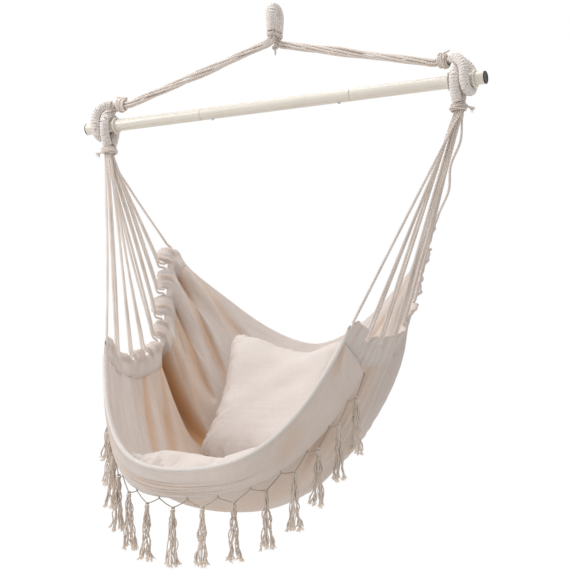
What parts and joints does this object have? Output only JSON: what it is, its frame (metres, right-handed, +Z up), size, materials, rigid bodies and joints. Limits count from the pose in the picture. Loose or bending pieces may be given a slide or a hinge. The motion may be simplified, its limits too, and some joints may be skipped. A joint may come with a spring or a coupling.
{
  "type": "hammock chair",
  "caption": "Hanging chair: a rope eye and two rope legs carry a steel spreader bar, and fans of cord carry a deep cloth seat with cushions and a tasselled front band.",
  "frame": {"origin": "where the hook bears: the middle of the underside of the hanging eye's top limb", "axes": "+X along the bar to the sitter's left, +Z up, -Y to the front, the way the sitter looks"},
  "size_m": [1, 0.6062, 1.2412],
  "materials": {
    "cotton_rope": "twisted cotton strands, matt",
    "serving_cord": "wound cotton cord, matt",
    "sling_canvas": "unbleached canvas, plain weave",
    "cushion_cloth": "unbleached canvas over soft filling",
    "fringe_yarn": "loose twisted yarn",
    "ivory_enamel": "smooth semi-gloss coating",
    "black_plastic": "moulded, satin",
    "bright_steel": "plain spring steel"
  },
  "bodies": {
    "suspension": {"hanging_eye_core": "cotton_rope", "hanging_eye_serving": "serving_cord", "throat_binding": "cotton_rope", "left_leg_strand_1": "cotton_rope", "left_leg_strand_2": "cotton_rope", "left_leg_strand_3": "cotton_rope", "left_leg_strand_4": "cotton_rope", "left_leg_strand_5": "cotton_rope", "left_leg_strand_6": "cotton_rope", "right_leg_strand_1": "cotton_rope", "right_leg_strand_2": "cotton_rope", "right_leg_strand_3": "cotton_rope", "right_leg_strand_4": "cotton_rope", "right_leg_strand_5": "cotton_rope", "right_leg_strand_6": "cotton_rope", "left_upper_eye_core": "cotton_rope", "left_upper_eye_serving": "serving_cord", "left_leg_binding": "cotton_rope", "right_upper_eye_core": "cotton_rope", "right_upper_eye_serving": "serving_cord", "right_leg_binding": "cotton_rope"},
    "spreader_bar": {"middle_tube": "ivory_enamel", "left_end_tube": "ivory_enamel", "left_inner_collar": "ivory_enamel", "left_outer_collar": "ivory_enamel", "left_end_cap": "black_plastic", "left_button_spring": "bright_steel", "right_end_tube": "ivory_enamel", "right_inner_collar": "ivory_enamel", "right_outer_collar": "ivory_enamel", "right_end_cap": "black_plastic", "right_button_spring": "bright_steel"},
    "left_button": {"left_snap_button": "bright_steel"},
    "right_button": {"right_snap_button": "bright_steel"},
    "sling": {"left_lower_eye_core": "cotton_rope", "left_lower_eye_serving": "serving_cord", "left_fan_seizing": "cotton_rope", "left_side_hem": "sling_canvas", "right_lower_eye_core": "cotton_rope", "right_lower_eye_serving": "serving_cord", "right_fan_seizing": "cotton_rope", "right_side_hem": "sling_canvas", "left_fan_cords_1": "cotton_rope", "left_fan_cords_2": "cotton_rope", "left_fan_cords_3": "cotton_rope", "left_fan_cords_4": "cotton_rope", "right_fan_cords_1": "cotton_rope", "right_fan_cords_2": "cotton_rope", "right_fan_cords_3": "cotton_rope", "right_fan_cords_4": "cotton_rope", "sling_cloth": "sling_canvas", "front_flap": "sling_canvas", "fringe": "fringe_yarn"},
    "seat_cushion": {"seat_cushion": "cushion_cloth"},
    "back_pillow": {"back_pillow": "cushion_cloth"}
  },
  "joints": [
    {"name": "bar_roll", "type": "hinge", "parent": "suspension", "child": "spreader_bar", "pos_m": [0, 0, -0.212], "axis": [1, 0, 0], "continuous": true},
    {"name": "sling_swing", "type": "hinge", "parent": "suspension", "child": "sling", "pos_m": [0, 0, -0.212], "axis": [1, 0, 0], "range_deg": [-30, 30]},
    {"name": "left_button_press", "type": "slide", "parent": "spreader_bar", "child": "left_button", "axis": [0, 0, 1], "range_m": [0, 0.0047], "stiffness_N_per_m": 900, "springref_m": -0.003, "deforming": ["left_button_spring"]},
    {"name": "right_button_press", "type": "slide", "parent": "spreader_bar", "child": "right_button", "axis": [0, 0, 1], "range_m": [0, 0.0047], "stiffness_N_per_m": 900, "springref_m": -0.003, "deforming": ["right_button_spring"]},
    {"name": "seat_cushion_lift", "type": "slide", "parent": "sling", "child": "seat_cushion", "axis": [0, 0, 1], "range_m": [0, 0.15]},
    {"name": "back_pillow_lift", "type": "slide", "parent": "seat_cushion", "child": "back_pillow", "axis": [0, 0, 1], "range_m": [0, 0.15]}
  ]
}
